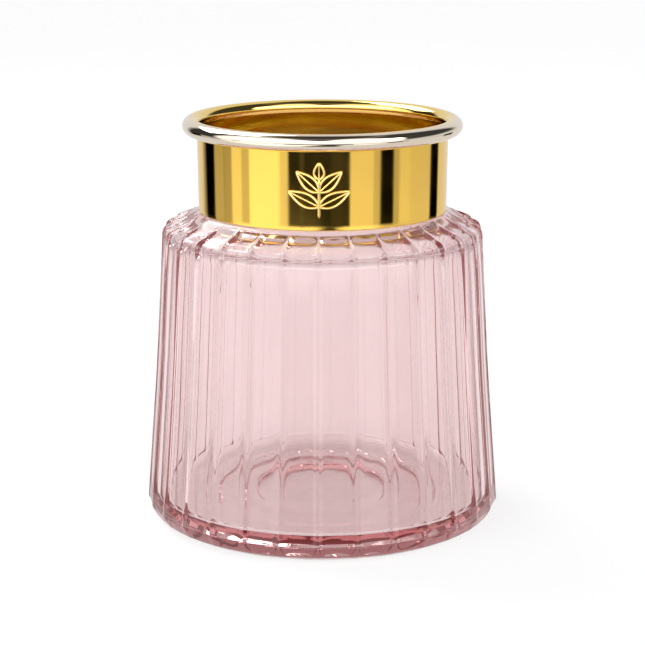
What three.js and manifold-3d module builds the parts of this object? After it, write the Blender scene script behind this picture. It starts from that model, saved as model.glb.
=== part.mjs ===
// A fluted pink glass jar with a metal collar pushed over its neck.
//
// The jar is one piece of pressed glass: narrow upright ridges between shallow flutes outside, a smooth
// round cavity inside, a thick base with a recess under it, and a short plain neck. Two silicone rings sit
// on the neck. A gold-plated sleeve slides down over them, with a rolled trim ring round its top edge and a
// raised emblem of leaves on its front.
//
// Millimetres, +Z up. The origin is the middle of the foot, on the surface the jar stands on, and the emblem
// faces -Y. Every outline below is a list of (radius, height) points in a plane through the jar's axis.

import * as THREE from "three";
import { mergeVertices } from "three/addons/utils/BufferGeometryUtils.js";
import Module from "manifold-3d";

// ---- Driving dimensions ----

const HEIGHT = 160;

const FLUTES = 30;
const FLUTE_DEPTH = 1; // how far the middle of a flute lies under its two ridges, at the shoulder's corner
const WALL_SHARE = 0.6; // share of that depth on the wall
const RIDGE_WIDTH = 1.1; // distance from a ridge's crest at which its bell shape has mostly died away
const RIDGE_SHARE = 0.75; // share of the depth that is the ridge; the rest is the hollow between two ridges
const FLUTE_COLUMNS = [0, 0.08, 0.17, 0.83, 0.92]; // places across a flute that get a column of vertices

const FOOT_RADIUS = 63.2;
const CHAMFER_RADIUS = 69.2; // control point of the curve from the foot to the heel
const CHAMFER_HEIGHT = 2.6;
const HEEL_RADIUS = 70.6; // the widest level, measured over the ridges
const HEEL_HEIGHT = 7.2;
const WAIST_RADIUS = 66.4; // the wall is very slightly hollow in profile
const WAIST_HEIGHT = 63.3;
const SHOULDER_RADIUS = 63.3; // top of the tapering wall, over the ridges
const SHOULDER_HEIGHT = 113.8;
const FLUTE_END_RADIUS = 53; // the flutes stop here on the shoulder, in a plain ring round the neck
const FLUTE_END_HEIGHT = 121.7;

const SEAT_RADIUS = 49.6; // level ledge that the collar stands on
const SEAT_HEIGHT = 123.2;
const NECK_RADIUS = 46.3;
const LIP_HEIGHT = 142;
const NECK_BORE_RADIUS = 42.6;

const CAVITY_TOP_RADIUS = 58.6;
const CAVITY_TOP_HEIGHT = 109;
const CAVITY_FLOOR_RADIUS = 65.3;
const FLOOR_HEIGHT = 9.8;
const FLOOR_FILLET = 3;
const FLOOR_STEPS = [43.9, 26.5]; // radii at which the floor drops by a small step left by the plunger
const STEP_DEPTH = 0.35;

const RECESS_RADIUS = 43.5; // recess pressed into the underside
const RECESS_DEPTH = 1.8;
const RECESS_EDGE = 2.1;
const PONTIL_RADIUS = 27.4; // shallow disc in the middle of the recess
const PONTIL_DEPTH = 2.8;
const PONTIL_EDGE = 0.9;

const SHEET = 0.8; // thickness of the sleeve's sheet metal
const SLEEVE_BOTTOM = 123.5;
const SLEEVE_BOTTOM_RADIUS = 48.65; // the sleeve widens a little towards the top
const SLEEVE_TOP_RADIUS = 49.05;

const TRIM_CENTRE_RADIUS = 51.2;
const TRIM_HALF_WIDTH = 3.55;
const TRIM_HALF_HEIGHT = 3.3;
const TRIM_WALL = 0.5; // the trim ring is a rolled tube with a slot for the sleeve's edge
const SLOT_ENTRY = 0.4; // the sleeve's edge stops this far below the tube's centre
const FIT_GAP = 0.2; // clearance between the sleeve's edge and the slot

const GASKET_HEIGHT = 3;
const GASKET_LEVELS = { lower_gasket: 127, upper_gasket: 136 };
const GASKET_GAP = 0.3;

const EMBLEM_LEVEL = 138.6;
const EMBLEM_GAP = 0.25; // film of adhesive behind the emblem
const EMBLEM_THICKNESS = 0.5;
const OUTLINE_WIDTH = 0.85;
const VEIN_WIDTH = 0.6;
const STEM_WIDTH = 1.1;
const STEM_FOOT = -10.2; // heights are measured from the emblem's middle
const STEM_TOP = 4.5;
const LEAF_PAIRS = [
  { root: -6, lean: 64, length: 13, halfWidth: 2.4 }, // lean is in degrees from the upright
  { root: -0.5, lean: 48, length: 11.5, halfWidth: 2.3 },
];
const TOP_LEAF = { root: 4, lean: 0, length: 6.5, halfWidth: 1.9 };
const LEAF_STEPS = 10; // straight pieces along a leaf's edge

const ROUND_STEPS = 60; // facets round each metal and silicone ring

// ---- Values worked out from them ----

const TRIM_CENTRE_HEIGHT = HEIGHT - TRIM_HALF_HEIGHT;
const SLEEVE_TOP = TRIM_CENTRE_HEIGHT - SLOT_ENTRY;

// ---- Materials ----

const pinkGlass = new THREE.MeshStandardMaterial({
  color: 0xe9b9bd,
  roughness: 0.03,
  metalness: 0,
  transparent: true,
  opacity: 0.4,
});
const goldPlate = new THREE.MeshStandardMaterial({ color: 0xd9a62e, roughness: 0.08, metalness: 1 });
const paleGoldPlate = new THREE.MeshStandardMaterial({ color: 0xd8c9b4, roughness: 0.06, metalness: 1 });
const brightGold = new THREE.MeshStandardMaterial({ color: 0xf0cf5c, roughness: 0.18, metalness: 1 });
const silicone = new THREE.MeshStandardMaterial({ color: 0xe6e4e0, roughness: 0.5, metalness: 0 });

// ---- Shared helpers ----

const point = (radius, height) => new THREE.Vector2(radius, height);
const mix = THREE.MathUtils.lerp;

// A body of revolution about +Z. Its outline runs so that the solid lies to its left.
function turned(name, outline, steps, material) {
  const geometry = new THREE.LatheGeometry(outline, steps);
  geometry.rotateX(Math.PI / 2);
  const mesh = new THREE.Mesh(geometry, material);
  mesh.name = name;
  return mesh;
}

// Points along an arc of an ellipse, from one angle to another, in degrees.
function ellipseArc(centre, halfWidth, halfHeight, from, to, steps) {
  return Array.from({ length: steps + 1 }, (_, i) => {
    const angle = THREE.MathUtils.degToRad(mix(from, to, i / steps));
    return point(centre.x + halfWidth * Math.cos(angle), centre.y + halfHeight * Math.sin(angle));
  });
}

// Points along a quadratic curve, without its first one.
function bend(start, control, end, steps) {
  return new THREE.QuadraticBezierCurve(start, control, end).getPoints(steps).slice(1);
}

// ---- Glass jar ----

// The depth across a flute, from 0 on one ridge to 1 in the middle and back to 0 on the next: a bell-shaped
// ridge on the round wall, plus the hollow of a parabola.
function fluteSection(across) {
  const fromRidge = Math.min(across, 1 - across) * 2;
  const halfPitch = (Math.PI * HEEL_RADIUS) / FLUTES;
  const ridge = 1 - Math.exp(-(((fromRidge * halfPitch) / RIDGE_WIDTH) ** 2));
  const hollow = 1 - (1 - fromRidge) ** 2;
  return RIDGE_SHARE * ridge + (1 - RIDGE_SHARE) * hollow;
}

// The outline over the ridges. Each point carries the share of the full flute depth that is cut there.
function jarOutline() {
  const outline = [];
  const add = (points, cut = () => 0) =>
    points.forEach((p, i) => outline.push(Object.assign(p, { cut: cut((i + 1) / points.length) })));

  const foot = point(FOOT_RADIUS, 0);
  const chamfer = point(CHAMFER_RADIUS, CHAMFER_HEIGHT);
  const heel = point(HEEL_RADIUS, HEEL_HEIGHT);
  const shoulder = point(SHOULDER_RADIUS, SHOULDER_HEIGHT);
  const slope = point(SHOULDER_RADIUS - 1.8, SHOULDER_HEIGHT + 2.8);
  const fluteEnd = point(FLUTE_END_RADIUS, FLUTE_END_HEIGHT);

  add([
    point(0, PONTIL_DEPTH),
    point(PONTIL_RADIUS - PONTIL_EDGE, PONTIL_DEPTH),
    point(PONTIL_RADIUS, RECESS_DEPTH),
    point(RECESS_RADIUS, RECESS_DEPTH - 0.4),
    point(RECESS_RADIUS + RECESS_EDGE, 0),
    foot,
  ]);
  add(bend(foot, chamfer, heel, 4), (along) => along * WALL_SHARE);
  add([point(WAIST_RADIUS, WAIST_HEIGHT)], () => WALL_SHARE);
  add([shoulder, point(SHOULDER_RADIUS - 0.4, SHOULDER_HEIGHT + 1.7), slope], () => 1);
  add(bend(slope, point(SHOULDER_RADIUS - 4.4, SHOULDER_HEIGHT + 5.6), point(54.6, 121), 3), () => 1);
  add([fluteEnd, point(SEAT_RADIUS + 0.4, SEAT_HEIGHT), point(NECK_RADIUS, SEAT_HEIGHT)]);
  add(ellipseArc(point((NECK_RADIUS + NECK_BORE_RADIUS) / 2, LIP_HEIGHT - 1.85), 1.85, 1.85, 0, 180, 4));
  const throat = point(NECK_BORE_RADIUS, 121);
  const cavityTop = point(CAVITY_TOP_RADIUS, CAVITY_TOP_HEIGHT);
  add([throat]);
  add(bend(throat, point(CAVITY_TOP_RADIUS, 117.5), cavityTop, 4));
  add(
    ellipseArc(
      point(CAVITY_FLOOR_RADIUS - FLOOR_FILLET, FLOOR_HEIGHT + FLOOR_FILLET),
      FLOOR_FILLET,
      FLOOR_FILLET,
      0,
      -90,
      3,
    ),
  );
  FLOOR_STEPS.forEach((radius, k) => {
    const height = FLOOR_HEIGHT - k * STEP_DEPTH;
    add([point(radius + STEP_DEPTH / 2, height), point(radius - STEP_DEPTH / 2, height - STEP_DEPTH)]);
  });
  add([point(0, FLOOR_HEIGHT - FLOOR_STEPS.length * STEP_DEPTH)]);
  return outline;
}

// The outward normal of the outline at one of its points.
function outlineNormal(outline, i) {
  const before = outline[Math.max(i - 1, 0)];
  const after = outline[Math.min(i + 1, outline.length - 1)];
  return point(after.y - before.y, before.x - after.x).normalize();
}

// Turns the outline, moves its columns to where a flute needs them, and presses each vertex in along its
// normal by the flute's depth there.
function glassJar() {
  const outline = jarOutline();
  const geometry = new THREE.LatheGeometry(outline, FLUTES * FLUTE_COLUMNS.length);
  const position = geometry.getAttribute("position");
  for (let v = 0; v < position.count; v++) {
    const i = v % outline.length;
    const column = Math.floor(v / outline.length);
    const across = FLUTE_COLUMNS[column % FLUTE_COLUMNS.length];
    const turn = ((Math.floor(column / FLUTE_COLUMNS.length) + across) * 2 * Math.PI) / FLUTES;
    const depth = FLUTE_DEPTH * outline[i].cut * fluteSection(across);
    const normal = outlineNormal(outline, i);
    const radius = outline[i].x - depth * normal.x;
    position.setXYZ(v, radius * Math.sin(turn), outline[i].y - depth * normal.y, radius * Math.cos(turn));
  }
  geometry.rotateX(Math.PI / 2);
  const mesh = new THREE.Mesh(geometry, pinkGlass);
  mesh.name = "glass_jar";
  return mesh;
}

// ---- Metal collar ----

// Outer radius of the slightly tapered sleeve at a height.
function sleeveRadius(height) {
  const share = (height - SLEEVE_BOTTOM) / (SLEEVE_TOP - SLEEVE_BOTTOM);
  return mix(SLEEVE_BOTTOM_RADIUS, SLEEVE_TOP_RADIUS, share);
}

function collarSleeve() {
  const bevel = 0.2;
  const inner = (height) => sleeveRadius(height) - SHEET;
  const outline = [
    point(inner(SLEEVE_BOTTOM) + bevel, SLEEVE_BOTTOM),
    point(sleeveRadius(SLEEVE_BOTTOM) - bevel, SLEEVE_BOTTOM),
    point(sleeveRadius(SLEEVE_BOTTOM), SLEEVE_BOTTOM + bevel),
    point(sleeveRadius(SLEEVE_TOP), SLEEVE_TOP),
    point(inner(SLEEVE_TOP), SLEEVE_TOP),
    point(inner(SLEEVE_BOTTOM), SLEEVE_BOTTOM + bevel),
  ];
  return turned("collar_sleeve", [...outline, outline[0]], ROUND_STEPS, goldPlate);
}

// The angle, in degrees, at which an ellipse about the trim ring's centre crosses a radius on its lower half.
function crossing(radius, halfWidth) {
  return -THREE.MathUtils.radToDeg(Math.acos((radius - TRIM_CENTRE_RADIUS) / halfWidth));
}

// A tube rolled from strip, open below along a slot that grips the sleeve's top edge.
function rimRing() {
  const centre = point(TRIM_CENTRE_RADIUS, TRIM_CENTRE_HEIGHT);
  const slotOuter = sleeveRadius(SLEEVE_TOP) + FIT_GAP;
  const slotInner = sleeveRadius(SLEEVE_TOP) - SHEET - FIT_GAP;
  const boreWidth = TRIM_HALF_WIDTH - TRIM_WALL;
  const boreHeight = TRIM_HALF_HEIGHT - TRIM_WALL;
  const skin = ellipseArc(
    centre,
    TRIM_HALF_WIDTH,
    TRIM_HALF_HEIGHT,
    crossing(slotOuter, TRIM_HALF_WIDTH),
    360 + crossing(slotInner, TRIM_HALF_WIDTH),
    15,
  );
  const bore = ellipseArc(centre, boreWidth, boreHeight, 360 - 175, crossing(slotOuter, boreWidth), 8);
  const outline = [...skin, ...bore];
  return turned("rim_ring", [...outline, outline[0]], ROUND_STEPS, paleGoldPlate);
}

// ---- Leaf emblem ----

// The strokes of one leaf, flat: both edges and the midrib. It starts on the stem at a height and grows at an
// angle from the upright. Its half-width along its length is a sine that leans towards the base.
function leafStrokes({ root, lean, length, halfWidth }, side) {
  const angle = THREE.MathUtils.degToRad(side * lean);
  const axis = point(Math.sin(angle), Math.cos(angle));
  const across = point(axis.y, -axis.x);
  const at = (t, offset) => point(0, root).addScaledVector(axis, t * length).addScaledVector(across, offset);
  const along = Array.from({ length: LEAF_STEPS + 1 }, (_, i) => i / LEAF_STEPS);
  const edges = [1, -1].map((s) => ({
    points: along.map((t) => at(t, s * halfWidth * Math.sin(Math.PI * t ** 0.8))),
    width: OUTLINE_WIDTH,
  }));
  return [...edges, { points: [at(0, 0), at(0.5, 0), at(0.94, 0)], width: VEIN_WIDTH }];
}

// A stroke of constant width, extruded to the emblem's thickness.
function ribbon({ points, width }) {
  const edge = (s) =>
    points.map((p, i) => {
      const run = points[Math.min(i + 1, points.length - 1)].clone().sub(points[Math.max(i - 1, 0)]);
      const reach = (s * width) / (2 * run.length());
      return point(p.x - run.y * reach, p.y + run.x * reach);
    });
  const shape = new THREE.Shape([...edge(-1), ...edge(1).reverse()]);
  return new THREE.ExtrudeGeometry(shape, { depth: EMBLEM_THICKNESS, bevelEnabled: false });
}

function toManifold(wasm, geometry) {
  const bare = geometry.clone();
  bare.deleteAttribute("normal");
  bare.deleteAttribute("uv");
  const merged = mergeVertices(bare.index ? bare.toNonIndexed() : bare);
  return new wasm.Manifold(
    new wasm.Mesh({
      numProp: 3,
      vertProperties: merged.getAttribute("position").array,
      triVerts: new Uint32Array(merged.index.array),
    }),
  );
}

// A sprig: two pairs of leaves up a short stem, and one leaf at its top. The strokes are joined while flat,
// then wrapped round the sleeve.
async function leafEmblem() {
  const wasm = await Module();
  wasm.setup();
  const strokes = [{ points: [point(0, STEM_FOOT), point(0, 0), point(0, STEM_TOP)], width: STEM_WIDTH }];
  strokes.push(...leafStrokes(TOP_LEAF, 1));
  for (const leaf of LEAF_PAIRS) strokes.push(...leafStrokes(leaf, 1), ...leafStrokes(leaf, -1));
  const solids = strokes.map((stroke) => toManifold(wasm, ribbon(stroke)));
  const solid = solids.reduce((all, next) => all.add(next));

  const { vertProperties, triVerts } = solid.getMesh();
  for (let v = 0; v < vertProperties.length; v += 3) {
    const [across, up, out] = vertProperties.subarray(v, v + 3);
    const height = EMBLEM_LEVEL + up;
    const radius = sleeveRadius(height) + EMBLEM_GAP + out;
    const turn = across / SLEEVE_TOP_RADIUS;
    vertProperties.set([radius * Math.sin(turn), -radius * Math.cos(turn), height], v);
  }
  const geometry = new THREE.BufferGeometry();
  geometry.setAttribute("position", new THREE.BufferAttribute(new Float32Array(vertProperties), 3));
  geometry.setIndex(new THREE.BufferAttribute(triVerts, 1));
  geometry.computeVertexNormals();
  const mesh = new THREE.Mesh(geometry, brightGold);
  mesh.name = "leaf_emblem";
  return mesh;
}

// ---- Silicone rings ----

// A band on the neck with a rounded outer face that grips the sleeve.
function gasket(name, level) {
  const inner = NECK_RADIUS + GASKET_GAP;
  const outer = sleeveRadius(level) - SHEET - GASKET_GAP;
  const half = GASKET_HEIGHT / 2;
  const crown = ellipseArc(point(inner + 0.4, level), outer - inner - 0.4, half, -90, 90, 4);
  const outline = [point(inner, level - half), ...crown, point(inner, level + half)];
  return turned(name, [...outline, outline[0]], ROUND_STEPS, silicone);
}

// ---- Assembly ----

const jar = new THREE.Group();
jar.add(glassJar());
for (const [name, level] of Object.entries(GASKET_LEVELS)) jar.add(gasket(name, level));

const collar = new THREE.Group();
collar.add(collarSleeve(), rimRing(), await leafEmblem());

const assembly = new THREE.Group();
assembly.add(jar, collar);

export default assembly;
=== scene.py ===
"""A fluted pink glass jar with a gold collar, standing on a pale studio floor.

Every piece is a mesh worked out from an outline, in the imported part's own frame, and rides on the body it
belongs to. The outlines give (radius, height) in millimetres from the middle of the foot.
"""

import math

import bpy
import numpy as np
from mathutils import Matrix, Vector


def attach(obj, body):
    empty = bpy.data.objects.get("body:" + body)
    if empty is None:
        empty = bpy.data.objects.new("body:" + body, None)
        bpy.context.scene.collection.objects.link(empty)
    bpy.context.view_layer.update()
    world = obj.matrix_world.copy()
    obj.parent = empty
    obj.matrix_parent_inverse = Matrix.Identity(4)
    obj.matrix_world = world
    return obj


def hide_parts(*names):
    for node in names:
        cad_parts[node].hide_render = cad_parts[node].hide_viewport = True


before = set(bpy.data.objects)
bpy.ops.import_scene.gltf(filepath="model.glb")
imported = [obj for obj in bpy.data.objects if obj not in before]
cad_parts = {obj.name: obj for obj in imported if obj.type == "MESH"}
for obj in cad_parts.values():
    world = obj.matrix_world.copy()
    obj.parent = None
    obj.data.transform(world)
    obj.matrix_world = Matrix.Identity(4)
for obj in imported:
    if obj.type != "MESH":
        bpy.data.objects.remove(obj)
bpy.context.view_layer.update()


# ---- Camera --------------------------------------------------------------------------------------
# A long lens about 0.8 m from the jar, looking down on it and a little from its right. It is placed round
# a pivot on the jar's axis, and tilted down from there until the jar is in the middle.

LENS = 115.4  # mm, on a sensor 36 mm wide
VIEW_DISTANCE = 0.8155
VIEW_AZIMUTH = 1.5  # degrees from the front, towards +X
VIEW_ELEVATION = 10.25  # degrees above the horizon, seen from the pivot
PIVOT_HEIGHT = 0.1225
TILT = 3.1  # degrees that the camera points below the pivot

azimuth = math.radians(VIEW_AZIMUTH)
elevation = math.radians(VIEW_ELEVATION)
away = Vector(
    (
        math.sin(azimuth) * math.cos(elevation),
        -math.cos(azimuth) * math.cos(elevation),
        math.sin(elevation),
    )
)
camera = bpy.data.objects.new("camera", bpy.data.cameras.new("camera"))
camera.data.lens = LENS
camera.data.sensor_width = 36
camera.location = Vector((0, 0, PIVOT_HEIGHT)) + VIEW_DISTANCE * away
camera.rotation_euler = (math.radians(90 - VIEW_ELEVATION - TILT), 0, azimuth)
bpy.context.scene.collection.objects.link(camera)
bpy.context.scene.camera = camera


# ---- Glass jar -----------------------------------------------------------------------------------
# One piece of pink glass, pressed in a fluted mould: flutes, foot and recess come from the mould, the
# smooth cavity from the plunger. Fire-polished, so it is glossy all over.

MM = 0.001
HEEL_RADIUS = 70.5
FOOT_RADIUS = 63.2
WALL_TOP_RADIUS = 62.95
SHOULDER_HEIGHT = 117.2
SEAT_HEIGHT = 123.2
SEAT_RADIUS = 49.6
NECK_RADIUS = 46.3
NECK_BORE = 42.6
LIP_HEIGHT = 142
CAVITY_TOP = 58.4  # radii of the cavity under the shoulder and at the floor
CAVITY_BOTTOM = 65.3
FLOOR_HEIGHT = 9.8
STEP = 0.25

FLUTES = 30
FLUTE_DEPTH = 1.2
PLAIN_RING = 51.5  # radius where the flutes end, short of the seat
WALL_SHARE = 0.6  # part of the depth that the flutes keep on the wall
RIDGE_WIDTH = 1.5  # from a ridge's crest to where it has fallen by about two thirds
RIDGE_SHARE = 0.75  # part of the depth that is ridge; the rest is the hollow between ridges
FLUTE_PITCH_HALF = 7.2  # from a ridge to the middle of a flute


def rounded(corners, arc_step=12):
    """Points along a line through the corners (x, y, fillet). Each corner becomes an arc of its fillet
    radius, tangent to both sides, with a point every arc_step degrees or less."""
    points = [np.array(corners[0][:2], float)]
    for before, corner, after in zip(corners, corners[1:], corners[2:]):
        here = np.array(corner[:2], float)
        back = np.array(before[:2], float) - here
        on = np.array(after[:2], float) - here
        back /= np.linalg.norm(back)
        on /= np.linalg.norm(on)
        opening = math.acos(np.clip(back @ on, -1, 1))
        if corner[2] == 0:
            points.append(here)
            continue
        centre = here + (back + on) / np.linalg.norm(back + on) * corner[2] / math.sin(opening / 2)
        start = here + back * corner[2] / math.tan(opening / 2) - centre
        end = here + on * corner[2] / math.tan(opening / 2) - centre
        sweep = math.atan2(start[0] * end[1] - start[1] * end[0], start @ end)
        turns = np.linspace(0, sweep, max(2, math.ceil(abs(math.degrees(sweep)) / arc_step) + 1))
        for turn in turns:
            c, s = math.cos(turn), math.sin(turn)
            points.append(centre + np.array((c * start[0] - s * start[1], s * start[0] + c * start[1])))
    points.append(np.array(corners[-1][:2], float))
    return np.array(points)


def refined(points, step):
    """The same outline with extra points, so that no two are further apart than the step."""
    lengths = np.hypot(*np.diff(points, axis=0).T)
    along = np.concatenate(([0], np.cumsum(lengths)))
    stations = []
    for start, end in zip(along, along[1:]):
        count = max(1, math.ceil((end - start) / step))
        stations.append(np.linspace(start, end, count, endpoint=False))
    stations = np.concatenate(stations + [along[-1:]])
    return np.column_stack([np.interp(stations, along, values) for values in points.T])


def grid_faces(rows, columns, capped):
    """Faces over rows and columns of points. The columns wrap round. The rows wrap too, unless the grid is
    capped: then two more points, after the grid's own, close its first and its last row as fans."""
    index = np.arange(rows * columns).reshape(rows, columns)
    right = np.roll(index, -1, axis=1)
    if not capped:
        below = np.roll(index, -1, axis=0)
        below_right = np.roll(right, -1, axis=0)
        return np.stack((index, right, below_right, below), axis=-1).reshape(-1, 4).tolist()
    quads = np.stack((index[:-1], right[:-1], right[1:], index[1:]), axis=-1).reshape(-1, 4)
    first = np.stack((np.full(columns, rows * columns), right[0], index[0]), axis=-1)
    last = np.stack((np.full(columns, rows * columns + 1), index[-1], right[-1]), axis=-1)
    return quads.tolist() + first.tolist() + last.tolist()


def new_piece(name, points, faces):
    """A smooth mesh object from points in millimetres."""
    mesh = bpy.data.meshes.new(name)
    mesh.from_pydata((points * MM).tolist(), [], faces)
    mesh.shade_smooth()
    piece = bpy.data.objects.new(name, mesh)
    bpy.context.scene.collection.objects.link(piece)
    return piece


def jar_outline():
    """The outline over the ridges, from the middle of the underside round the outside and the cavity to the
    middle of the floor."""
    underside = [
        (0, 2.8, 0), (26.5, 2.8, 0.5), (27.4, 1.8, 0.5),  # hollow in the middle of the recess
        (43.5, 1.6, 0.8), (45.6, 0, 0.8), (FOOT_RADIUS, 0, 3.0),  # recess and foot ring
    ]
    outside = [
        (67.8, 2.3, 3.0), (HEEL_RADIUS, 6.8, 2.2), (66.0, 63.3, 600),  # heel and waisted wall
        (WALL_TOP_RADIUS, SHOULDER_HEIGHT, 4.0), (53.2, 121.1, 6),  # shoulder
        (SEAT_RADIUS, SEAT_HEIGHT, 0.5), (NECK_RADIUS, SEAT_HEIGHT, 0.4),
        (NECK_RADIUS, LIP_HEIGHT, 1.6),
    ]
    cavity = [
        (NECK_BORE, LIP_HEIGHT, 1.6), (NECK_BORE, 120.5, 6),
        (CAVITY_TOP, 115.0, 8), (CAVITY_BOTTOM, FLOOR_HEIGHT, 3.0),
        (44.2, FLOOR_HEIGHT, 0.5), (43.6, FLOOR_HEIGHT - STEP, 0.5),  # two shallow steps in the floor
        (26.8, FLOOR_HEIGHT - STEP, 0.5), (26.2, FLOOR_HEIGHT - 2 * STEP, 0.5),
        (0, FLOOR_HEIGHT - 2 * STEP, 0),
    ]
    return refined(rounded(underside + outside + cavity), 6.0)


def eased(value, low, high):
    """0 at low, 1 at high, and the smooth curve 3t^2 - 2t^3 between them."""
    t = np.clip((value - low) / (high - low), 0, 1)
    return t * t * (3 - 2 * t)


def flute_cut(outline):
    """The depth of the flutes at each point: they grow over the heel, keep to a share of the depth up the
    wall, deepen over the shoulder's corner, and run out at the plain ring round the neck."""
    radius, height = outline.T
    outside = (np.arange(len(outline)) < np.argmax(height)) & (radius > PLAIN_RING)
    wall = WALL_SHARE + (1 - WALL_SHARE) * eased(height, 100, SHOULDER_HEIGHT)
    return FLUTE_DEPTH * outside * wall * eased(height, 0, 9) * eased(radius, PLAIN_RING, 56)


def flute_angles(flutes):
    """Angles for one column each, crowded together on the ridges, where the surface turns fastest."""
    across = np.array((0, 0.017, 0.034, 0.052, 0.072, 0.095, 0.125, 0.17, 0.24, 0.35))
    across = np.concatenate((across, (0.5,), 1 - across[:0:-1]))
    return ((np.arange(flutes)[:, None] + across[None, :]) * (2 * np.pi / flutes)).ravel()


def flute_section(angles):
    """Depth across a flute, 0 on a ridge and 1 in the middle: mostly a narrow bell-shaped ridge standing on
    a round wall, with a little of the hollow of a parabola between one ridge and the next."""
    across = (angles * FLUTES / (2 * np.pi)) % 1
    distance = np.minimum(across, 1 - across) * 2
    ridge = 1 - np.exp(-((distance * FLUTE_PITCH_HALF / RIDGE_WIDTH) ** 2))
    return RIDGE_SHARE * ridge + (1 - RIDGE_SHARE) * (1 - (1 - distance) ** 2)


def make_jar():
    """Turns the outline through every angle and presses each point in along its normal, by the depth of the
    flute there."""
    outline = jar_outline()
    tangent = np.gradient(outline, axis=0)
    tangent /= np.linalg.norm(tangent, axis=1, keepdims=True)
    cut = flute_cut(outline)
    body = slice(1, -1)
    angles = flute_angles(FLUTES)
    section = flute_section(angles)
    radius = outline[body, 0, None] - cut[body, None] * tangent[body, 1, None] * section
    height = outline[body, 1, None] + cut[body, None] * tangent[body, 0, None] * section
    points = np.stack((radius * np.sin(angles), -radius * np.cos(angles), height), axis=-1).reshape(-1, 3)
    poles = ((0, 0, outline[0, 1]), (0, 0, outline[-1, 1]))
    return new_piece("glass_jar_body", np.vstack((points, poles)), grid_faces(*radius.shape, capped=True))


def add_node(tree, kind, inputs, **settings):
    """A shader node of a tree. Each of its inputs is given a plain value or another node's output."""
    node = tree.nodes.new("ShaderNode" + kind)
    for setting, value in settings.items():
        setattr(node, setting, value)
    for socket, value in inputs.items():
        if isinstance(value, bpy.types.NodeSocket):
            tree.links.new(value, node.inputs[socket])
        else:
            node.inputs[socket].default_value = value
    return node


def blend(tree, share, first, second):
    """A colour that goes from the first to the second as the share goes from 0 to 1."""
    return add_node(tree, "Mix", {0: share, 6: first, 7: second}, data_type="RGBA").outputs[2]


def spread(tree, value, low, high):
    """A value from 0 to 1, spread evenly from low to high."""
    return add_node(tree, "MapRange", {"Value": value, "To Min": low, "To Max": high}).outputs["Result"]


def make_surface_marks():
    """The group every piece's finish uses. Marks is noise stretched by its own amount along each axis, for
    waves, polishing lines or grain; Haze is soft patches, so many to the metre."""
    group = bpy.data.node_groups.new("surface_marks", "ShaderNodeTree")
    group.interface.new_socket(name="Stretch", in_out="INPUT", socket_type="NodeSocketVector")
    group.interface.new_socket(name="Patches", in_out="INPUT", socket_type="NodeSocketFloat")
    group.interface.new_socket(name="Marks", in_out="OUTPUT", socket_type="NodeSocketFloat")
    group.interface.new_socket(name="Haze", in_out="OUTPUT", socket_type="NodeSocketFloat")
    given = group.nodes.new("NodeGroupInput").outputs
    place = add_node(group, "TexCoord", {}).outputs["Object"]
    stretched = add_node(group, "Mapping", {"Vector": place, "Scale": given["Stretch"]}).outputs["Vector"]
    fine = {"Vector": stretched, "Scale": 1.0, "Detail": 2.0}
    marks = add_node(group, "TexNoise", fine).outputs["Fac"]
    soft = {"Vector": place, "Scale": given["Patches"], "Detail": 4.0}
    patches = add_node(group, "TexNoise", soft).outputs["Fac"]
    ends = {"Value": patches, "From Min": 0.35, "From Max": 0.7}
    haze = add_node(group, "MapRange", ends).outputs["Result"]
    result = group.nodes.new("NodeGroupOutput").inputs
    group.links.new(marks, result["Marks"])
    group.links.new(haze, result["Haze"])
    return group


surface_marks = make_surface_marks()


def new_finish(name, stretch, patches, relief):
    """A material with the marks group wired in: its Marks are a bump of the given depth in metres. Returns
    the material, its tree, its Principled shader and the Haze output."""
    material = bpy.data.materials.new(name)
    material.use_nodes = True
    tree = material.node_tree
    shader = tree.nodes["Principled BSDF"]
    marks = tree.nodes.new("ShaderNodeGroup")
    marks.node_tree = surface_marks
    marks.inputs["Stretch"].default_value = stretch
    marks.inputs["Patches"].default_value = patches
    bump = add_node(tree, "Bump", {"Height": marks.outputs["Marks"], "Distance": relief, "Strength": 1.0})
    tree.links.new(bump.outputs["Normal"], shader.inputs["Normal"])
    return material, tree, shader, marks.outputs["Haze"]


jar = make_jar()
material, tree, shader, haze = new_finish("pink_glass", stretch=(55, 55, 9), patches=30, relief=0.00014)
tint = blend(tree, haze, (0.915, 0.812, 0.814, 1), (0.925, 0.826, 0.828, 1))
tree.links.new(tint, shader.inputs["Base Color"])
tree.links.new(spread(tree, haze, 0.0, 0.012), shader.inputs["Roughness"])
shader.inputs["IOR"].default_value = 1.51
shader.inputs["Transmission Weight"].default_value = 1.0
# Painted glow: on paths reflected inside the glass more than twice, the glass emits the dull rose that such
# light would fade to.
reflections = add_node(tree, "LightPath", {}).outputs["Glossy Depth"]
deep_bounce_glow_share = add_node(tree, "Math", {0: reflections, 1: 2.5}, operation="GREATER_THAN").outputs[0]
tree.links.new(blend(tree, deep_bounce_glow_share, (0, 0, 0, 1), (0.14, 0.072, 0.07, 1)), shader.inputs["Emission Color"])
shader.inputs["Emission Strength"].default_value = 1.0
volume = add_node(tree, "VolumeAbsorption", {"Color": (0.66, 0.25, 0.27, 1), "Density": 17.5})
tree.links.new(volume.outputs["Volume"], tree.nodes["Material Output"].inputs["Volume"])
jar.data.materials.append(material)
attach(jar, "jar")
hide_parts("glass_jar")


# ---- Collar sleeve -------------------------------------------------------------------------------
# A cylinder of thin sheet, gold-plated and polished to a mirror, standing on the jar's seat round its
# neck. Its inside face has painted shade: a darker, duller gold than the outside.

SHEET = 0.8
SLEEVE_BOTTOM = 123.5
SLEEVE_TOP = 156.3
SLEEVE_BOTTOM_RADIUS = 48.65
SLEEVE_TOP_RADIUS = 49.05
EDGE = 0.3


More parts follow.
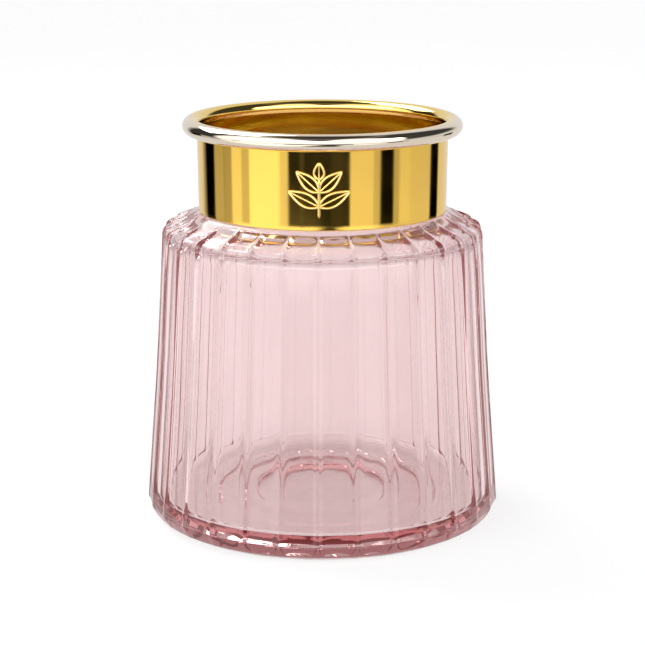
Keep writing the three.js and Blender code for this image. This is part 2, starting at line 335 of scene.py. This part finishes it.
def turned(name, outline, columns=240):
    """A body of revolution from a closed outline of (radius, height), with the solid on its left."""
    angles = np.arange(columns) * (2 * np.pi / columns)
    radius = outline[:, 0, None] * np.ones(columns)
    height = outline[:, 1, None] * np.ones(columns)
    points = np.stack((radius * np.sin(angles), -radius * np.cos(angles), height), axis=-1).reshape(-1, 3)
    return new_piece(name, points, grid_faces(*radius.shape, capped=False))


def sleeve_radius(height):
    """Outer radius of the sleeve at a height; it widens a little towards the top."""
    return np.interp(height, (SLEEVE_BOTTOM, SLEEVE_TOP), (SLEEVE_BOTTOM_RADIUS, SLEEVE_TOP_RADIUS))


def make_sleeve():
    """A wall of sheet thickness with its edges rounded off."""
    inner_bottom = SLEEVE_BOTTOM_RADIUS - SHEET
    inner_top = SLEEVE_TOP_RADIUS - SHEET
    middle = ((inner_bottom + inner_top) / 2, (SLEEVE_BOTTOM + SLEEVE_TOP) / 2, 0)
    loop = rounded(
        [middle, (inner_bottom, SLEEVE_BOTTOM, EDGE), (SLEEVE_BOTTOM_RADIUS, SLEEVE_BOTTOM, EDGE),
         (SLEEVE_TOP_RADIUS, SLEEVE_TOP, EDGE), (inner_top, SLEEVE_TOP, EDGE), middle],
    )
    return turned("sleeve_shell", refined(loop, 2.0)[:-1])


def across_radius(tree, inner, outer):
    """0 up to the inner distance from the jar's axis, 1 from the outer one, and smooth between."""
    place = add_node(tree, "TexCoord", {}).outputs["Object"]
    flat = add_node(tree, "VectorMath", {0: place, 1: (1, 1, 0)}, operation="MULTIPLY").outputs["Vector"]
    distance = add_node(tree, "VectorMath", {0: flat}, operation="LENGTH").outputs["Value"]
    ends = {"Value": distance, "From Min": inner, "From Max": outer}
    return add_node(tree, "MapRange", ends, interpolation_type="SMOOTHSTEP").outputs["Result"]


sleeve = make_sleeve()
material, tree, shader, haze = new_finish("gold_plate", stretch=(25, 25, 1800), patches=45, relief=0.000002)
gold = blend(tree, haze, (0.95, 0.61, 0.11, 1), (0.93, 0.59, 0.12, 1))
# Painted shade: the inner face of the sleeve gets a darker, duller gold, blended in across the sheet.
inner_wall = (SLEEVE_TOP_RADIUS - SHEET) * MM
outward = across_radius(tree, inner_wall, inner_wall + 0.5 * SHEET * MM)
tree.links.new(blend(tree, outward, (0.66, 0.52, 0.06, 1), gold), shader.inputs["Base Color"])
tree.links.new(spread(tree, haze, 0.05, 0.1), shader.inputs["Roughness"])
shader.inputs["Metallic"].default_value = 1.0
sleeve.data.materials.append(material)
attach(sleeve, "collar")
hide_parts("collar_sleeve")


# ---- Rim ring ------------------------------------------------------------------------------------
# A trim ring rolled from strip round the sleeve's top edge, plated in a paler champagne gold outside its
# crest and in the sleeve's own gold inside it.

TRIM_CENTRE_RADIUS = 51.2
TRIM_CENTRE_HEIGHT = 156.7
TRIM_HALF_WIDTH = 3.5
TRIM_HALF_HEIGHT = 3.25
INNER_GOLD = 51.0  # radii between which one plating passes into the other
OUTER_PALE = 52.6


def make_rim():
    """A slightly flattened round bead: an ellipse of radius and height turned about the axis."""
    turns = np.linspace(0, 2 * np.pi, 48, endpoint=False)
    radius = TRIM_CENTRE_RADIUS + TRIM_HALF_WIDTH * np.cos(turns)
    height = TRIM_CENTRE_HEIGHT + TRIM_HALF_HEIGHT * np.sin(turns)
    return turned("rim_bead", np.column_stack((radius, height)))


rim = make_rim()
material, tree, shader, haze = new_finish(
    "pale_gold_plate", stretch=(25, 25, 1500), patches=60, relief=0.000002
)
outward = across_radius(tree, INNER_GOLD * MM, OUTER_PALE * MM)
champagne = blend(tree, haze, (0.86, 0.75, 0.61, 1), (0.83, 0.72, 0.59, 1))
tree.links.new(blend(tree, outward, (0.95, 0.68, 0.2, 1), champagne), shader.inputs["Base Color"])
tree.links.new(spread(tree, haze, 0.04, 0.09), shader.inputs["Roughness"])
shader.inputs["Metallic"].default_value = 1.0
rim.data.materials.append(material)
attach(rim, "collar")
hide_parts("rim_ring")


# ---- Leaf emblem ---------------------------------------------------------------------------------
# A small sprig of five leaves in raised line-work, cast in brass, gold-plated with a satin surface and
# bonded to the front of the sleeve. It is drawn flat, in millimetres from its own middle, and then wrapped
# round the sleeve.

EMBLEM_HEIGHT = 138.6
EMBLEM_FILM = 0.03
LINE_RELIEF = 0.7
LINE_STATIONS = 26
EDGE_LINE = 0.85
RIB_LINE = 0.6
STEM_LINE = 1.1
STEM_FOOT = -10.2
STEM_TOP = 4.5
TIP_SHARE = 0.45  # part of its width that a line has at its ends
TIP_GROWTH = 8.0
LEAVES = (  # root on the stem, lean from the upright in degrees, length, half-width
    (-6.0, 64, 13.0, 2.4),
    (-6.0, -64, 13.0, 2.4),
    (-0.5, 48, 11.5, 2.3),
    (-0.5, -48, 11.5, 2.3),
    (4.0, 0, 6.5, 1.9),
)


def leaf_lines(root, lean, length, half_width):
    """Three lines on the flat, the two edges and the midrib. The edges stand off the leaf's axis by a sine
    of the way along it to the power 0.8, which puts the widest place nearer the root."""
    along = np.linspace(0, 1, LINE_STATIONS)
    axis = np.array((math.sin(math.radians(lean)), math.cos(math.radians(lean))))
    across = np.array((axis[1], -axis[0]))
    middle = np.array((0, root)) + length * np.outer(along, axis)
    swell = half_width * np.outer(np.sin(np.pi * along**0.8), across)
    rib = np.array((0, root)) + 0.93 * length * np.outer(along, axis)
    return [middle + swell, middle - swell, rib]


def make_emblem():
    """Sweeps a half-round section along every line, with a taper at both ends, and wraps it round the
    sleeve."""
    stem = np.column_stack((np.zeros(LINE_STATIONS), np.linspace(STEM_FOOT, STEM_TOP, LINE_STATIONS)))
    lines = [stem]
    widths = [STEM_LINE]
    for leaf in LEAVES:
        lines += leaf_lines(*leaf)
        widths += [EDGE_LINE, EDGE_LINE, RIB_LINE]
    lines = np.array(lines)
    run = np.gradient(lines, axis=1)
    run /= np.linalg.norm(run, axis=2, keepdims=True)
    left = np.stack((-run[..., 1], run[..., 0]), axis=-1)
    along = np.linspace(0, 1, LINE_STATIONS)
    taper = np.clip(TIP_SHARE + TIP_GROWTH * np.minimum(along, 1 - along), 0, 1)[None, :]
    width = np.array(widths)[:, None] * taper
    around = np.linspace(0, np.pi, 9)
    offset = width[..., None] / 2 * np.cos(around)
    flat = lines[:, :, None, :] + offset[..., None] * left[:, :, None, :]
    out = EMBLEM_FILM + LINE_RELIEF * width[..., None] / STEM_LINE * np.sin(around)
    flat = np.concatenate((flat.reshape(len(lines), -1, 2), lines[:, :1], lines[:, -1:]), axis=1)
    out = np.pad(out.reshape(len(lines), -1), ((0, 0), (0, 2)), constant_values=EMBLEM_FILM)
    height = EMBLEM_HEIGHT + flat[..., 1]
    radius = sleeve_radius(height) + out
    turn = flat[..., 0] / SLEEVE_TOP_RADIUS
    points = np.stack((radius * np.sin(turn), -radius * np.cos(turn), height), axis=-1)
    one_line = grid_faces(LINE_STATIONS, len(around), capped=True)
    size = points.shape[1]
    faces = [[corner + k * size for corner in face] for k in range(len(lines)) for face in one_line]
    return new_piece("sprig_lines", points.reshape(-1, 3), faces)


emblem = make_emblem()
material, tree, shader, haze = new_finish(
    "bright_gold", stretch=(2600, 2600, 2600), patches=400, relief=0.000006
)
gold = blend(tree, haze, (1.0, 0.8, 0.34, 1), (0.96, 0.74, 0.28, 1))
tree.links.new(gold, shader.inputs["Base Color"])
tree.links.new(spread(tree, haze, 0.16, 0.28), shader.inputs["Roughness"])
shader.inputs["Metallic"].default_value = 1.0
emblem.data.materials.append(material)
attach(emblem, "collar")
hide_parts("leaf_emblem")


# ---- Gaskets -------------------------------------------------------------------------------------
# Two moulded silicone rings on the glass neck, each with two soft lips that grip the inside of the sleeve.
# Their own stretch holds them, and they keep the metal off the glass.

GASKETS = (("lower_gasket", 127.0), ("upper_gasket", 136.0))
GASKET_HALF = 1.5
FIT = 0.3


def make_gasket(name, level):
    """A strip round the neck whose outer face is two rounded lips with a groove between them."""
    inner = NECK_RADIUS + FIT
    outer = sleeve_radius(level) - SHEET - FIT
    groove = outer - 0.35
    start = (inner, level, 0)
    upper = [(groove, 0.3, 0.15), (outer, 0.65, 0.2), (outer, 1.15, 0.2), (groove, GASKET_HALF, 0.2)]
    lower = [(radius, -height, fillet) for radius, height, fillet in reversed(upper)]
    side = [(radius, level + height, fillet) for radius, height, fillet in lower + upper]
    corners = [start, (inner, level - GASKET_HALF, 0.2), *side, (inner, level + GASKET_HALF, 0.2), start]
    return turned(name + "_lips", rounded(corners, arc_step=30)[:-1])


material, tree, shader, haze = new_finish("silicone", stretch=(900, 900, 900), patches=150, relief=0.00002)
tree.links.new(blend(tree, haze, (0.8, 0.78, 0.75, 1), (0.74, 0.71, 0.67, 1)), shader.inputs["Base Color"])
tree.links.new(spread(tree, haze, 0.42, 0.58), shader.inputs["Roughness"])
for name, level in GASKETS:
    ring = make_gasket(name, level)
    ring.data.materials.append(material)
    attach(ring, "gasket_rings")
    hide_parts(name)


# ---- Studio --------------------------------------------------------------------------------------
# A pale paper floor, a soft lamp behind on the left, and round them a white room with softboxes and dark
# screens, which is the world's background: what the metal and the glass mirror.

bpy.context.scene.view_settings.view_transform = "Standard"

PAPER_GLOW = 0.73

floor_mesh = bpy.data.meshes.new("floor")
floor_mesh.from_pydata([(-3, -3, 0), (3, -3, 0), (3, 3, 0), (-3, 3, 0)], [], [(0, 1, 2, 3)])
floor = bpy.data.objects.new("floor", floor_mesh)
bpy.context.scene.collection.objects.link(floor)
material, tree, shader, haze = new_finish("floor_paper", stretch=(700, 700, 700), patches=3, relief=0.00002)
paper = blend(tree, haze, (0.27, 0.27, 0.27, 1), (0.264, 0.264, 0.264, 1))
tree.links.new(paper, shader.inputs["Base Color"])
shader.inputs["Roughness"].default_value = 0.6
shader.inputs["Specular IOR Level"].default_value = 0.0
shader.inputs["Emission Color"].default_value = (1, 1, 1, 1)
shader.inputs["Emission Strength"].default_value = PAPER_GLOW
floor.data.materials.append(material)
floor.visible_glossy = False

world = bpy.data.worlds.new("studio")
bpy.context.scene.world = world
world.use_nodes = True
sky = world.node_tree


def maths(operation, *values):
    """A maths node of the room, each input a number or another node's output."""
    return add_node(sky, "Math", dict(enumerate(values)), operation=operation).outputs[0]


towards = add_node(sky, "TexCoord", {}).outputs["Generated"]
direction = add_node(sky, "SeparateXYZ", {0: towards}).outputs
sideways = maths("DEGREES", maths("ARCTAN2", direction["X"], maths("MULTIPLY", direction["Y"], -1.0)))
upward = maths("DEGREES", maths("ARCSINE", direction["Z"]))


def within(value, low, high, softness):
    """1 between low and high, falling smoothly to 0 across both ends."""
    from_middle = maths("ABSOLUTE", maths("SUBTRACT", value, (low + high) / 2))
    half = (high - low) / 2
    ends = {"Value": from_middle, "From Min": half - softness / 2, "From Max": half + softness / 2,
            "To Min": 1.0, "To Max": 0.0}
    return add_node(sky, "MapRange", ends, interpolation_type="SMOOTHSTEP").outputs["Result"]


def softbox(azimuth, height, half_width, half_height):
    """1 inside an ellipse of directions, given in degrees, falling smoothly to 0 round its edge."""
    across = maths("DIVIDE", maths("SUBTRACT", sideways, azimuth), half_width)
    along = maths("DIVIDE", maths("SUBTRACT", upward, height), half_height)
    reach = maths("SQRT", maths("ADD", maths("MULTIPLY", across, across), maths("MULTIPLY", along, along)))
    return within(reach, -1.0, 1.0, 0.25)


def screen(left, right, bottom, top, softness):
    """1 inside a rectangle of directions, given in degrees, falling smoothly to 0 round its edge."""
    return maths("MULTIPLY", within(sideways, left, right, softness), within(upward, bottom, top, softness))


AROUND = 400.0  # past both ends of every azimuth or height
WHITE_ROOM = 0.8
room = [
    (screen(-AROUND, AROUND, 64, AROUND, 14), 0.05),  # unlit ceiling
    (screen(62, 142, 8, 66, 14), 0.05),  # dark corner, rear right
    (screen(-138, -92, -14, 60, 14), 0.04),  # dark corner, rear left
    (screen(-34, 30, 20, 66, 16), 0.12),  # above the camera
    (screen(-16, 16, -38, -12, 10), 0.06),  # the camera and its stand
    (screen(-62, 62, -3, 19, 6), 1.35),  # lit table front
    (softbox(-44, 8, 50, 48), 1.5),
    (softbox(36, 20, 36, 42), 1.4),
    (screen(-75, 75, 22, 36, 8), 5.0),  # strip lamp over the camera
]
LOW_SCREENS = (  # from one azimuth to another, and how bright: what the upright collar mirrors
    (-132, -115, 0.0),
    (-115, -100, 0.5),
    (-100, -89, 0.44),
    (-89, -78, 0.98),
    (-78, -68, 0.65),
    (-68, -38, 1.27),
    (-38, -30, 0.85),
    (-30, 27, 0.025),
    (-19, -15, 0.07),
    (9, 20, 0.045),
    (27, 48, 0.85),
    (48, 55, 0.6),
    (55, 70, 0.0),
    (70, 76, 0.5),
    (76, 89, 0.8),
    (89, 118, 0.72),
    (118, 133.5, 0.0),
)
# They are lit from below, so they get darker from bottom to top.
lit = {"Value": upward, "From Min": -11.0, "From Max": -7.5, "To Min": 1.15, "To Max": 0.85}
falling = add_node(sky, "MapRange", lit).outputs["Result"]
for left, right, brightness in LOW_SCREENS:
    room.append((screen(left, right, -14, -4, 3.5), maths("MULTIPLY", falling, brightness)))

light = WHITE_ROOM
for mask, brightness in room:
    light = add_node(sky, "Mix", {0: mask, 2: light, 3: brightness}).outputs[0]
# What is seen through the glass is the evenly lit room behind it, without the darkest screens.
SEEN_THROUGH = 0.7
passed = add_node(sky, "LightPath", {}).outputs["Is Transmission Ray"]
light = add_node(sky, "Mix", {0: passed, 2: light, 3: maths("MAXIMUM", light, SEEN_THROUGH)}).outputs[0]
sky.links.new(light, sky.nodes["Background"].inputs["Color"])

LAMP_PLACE = Vector((-0.55, 0.45, 0.9))
lamp = bpy.data.lights.new("key", "AREA")
lamp.size = 0.7
lamp.energy = 9.0
key = bpy.data.objects.new("key", lamp)
key.location = LAMP_PLACE
key.rotation_euler = (Vector((0, 0, 0.05)) - LAMP_PLACE).to_track_quat("-Z", "Y").to_euler()
bpy.context.scene.collection.objects.link(key)
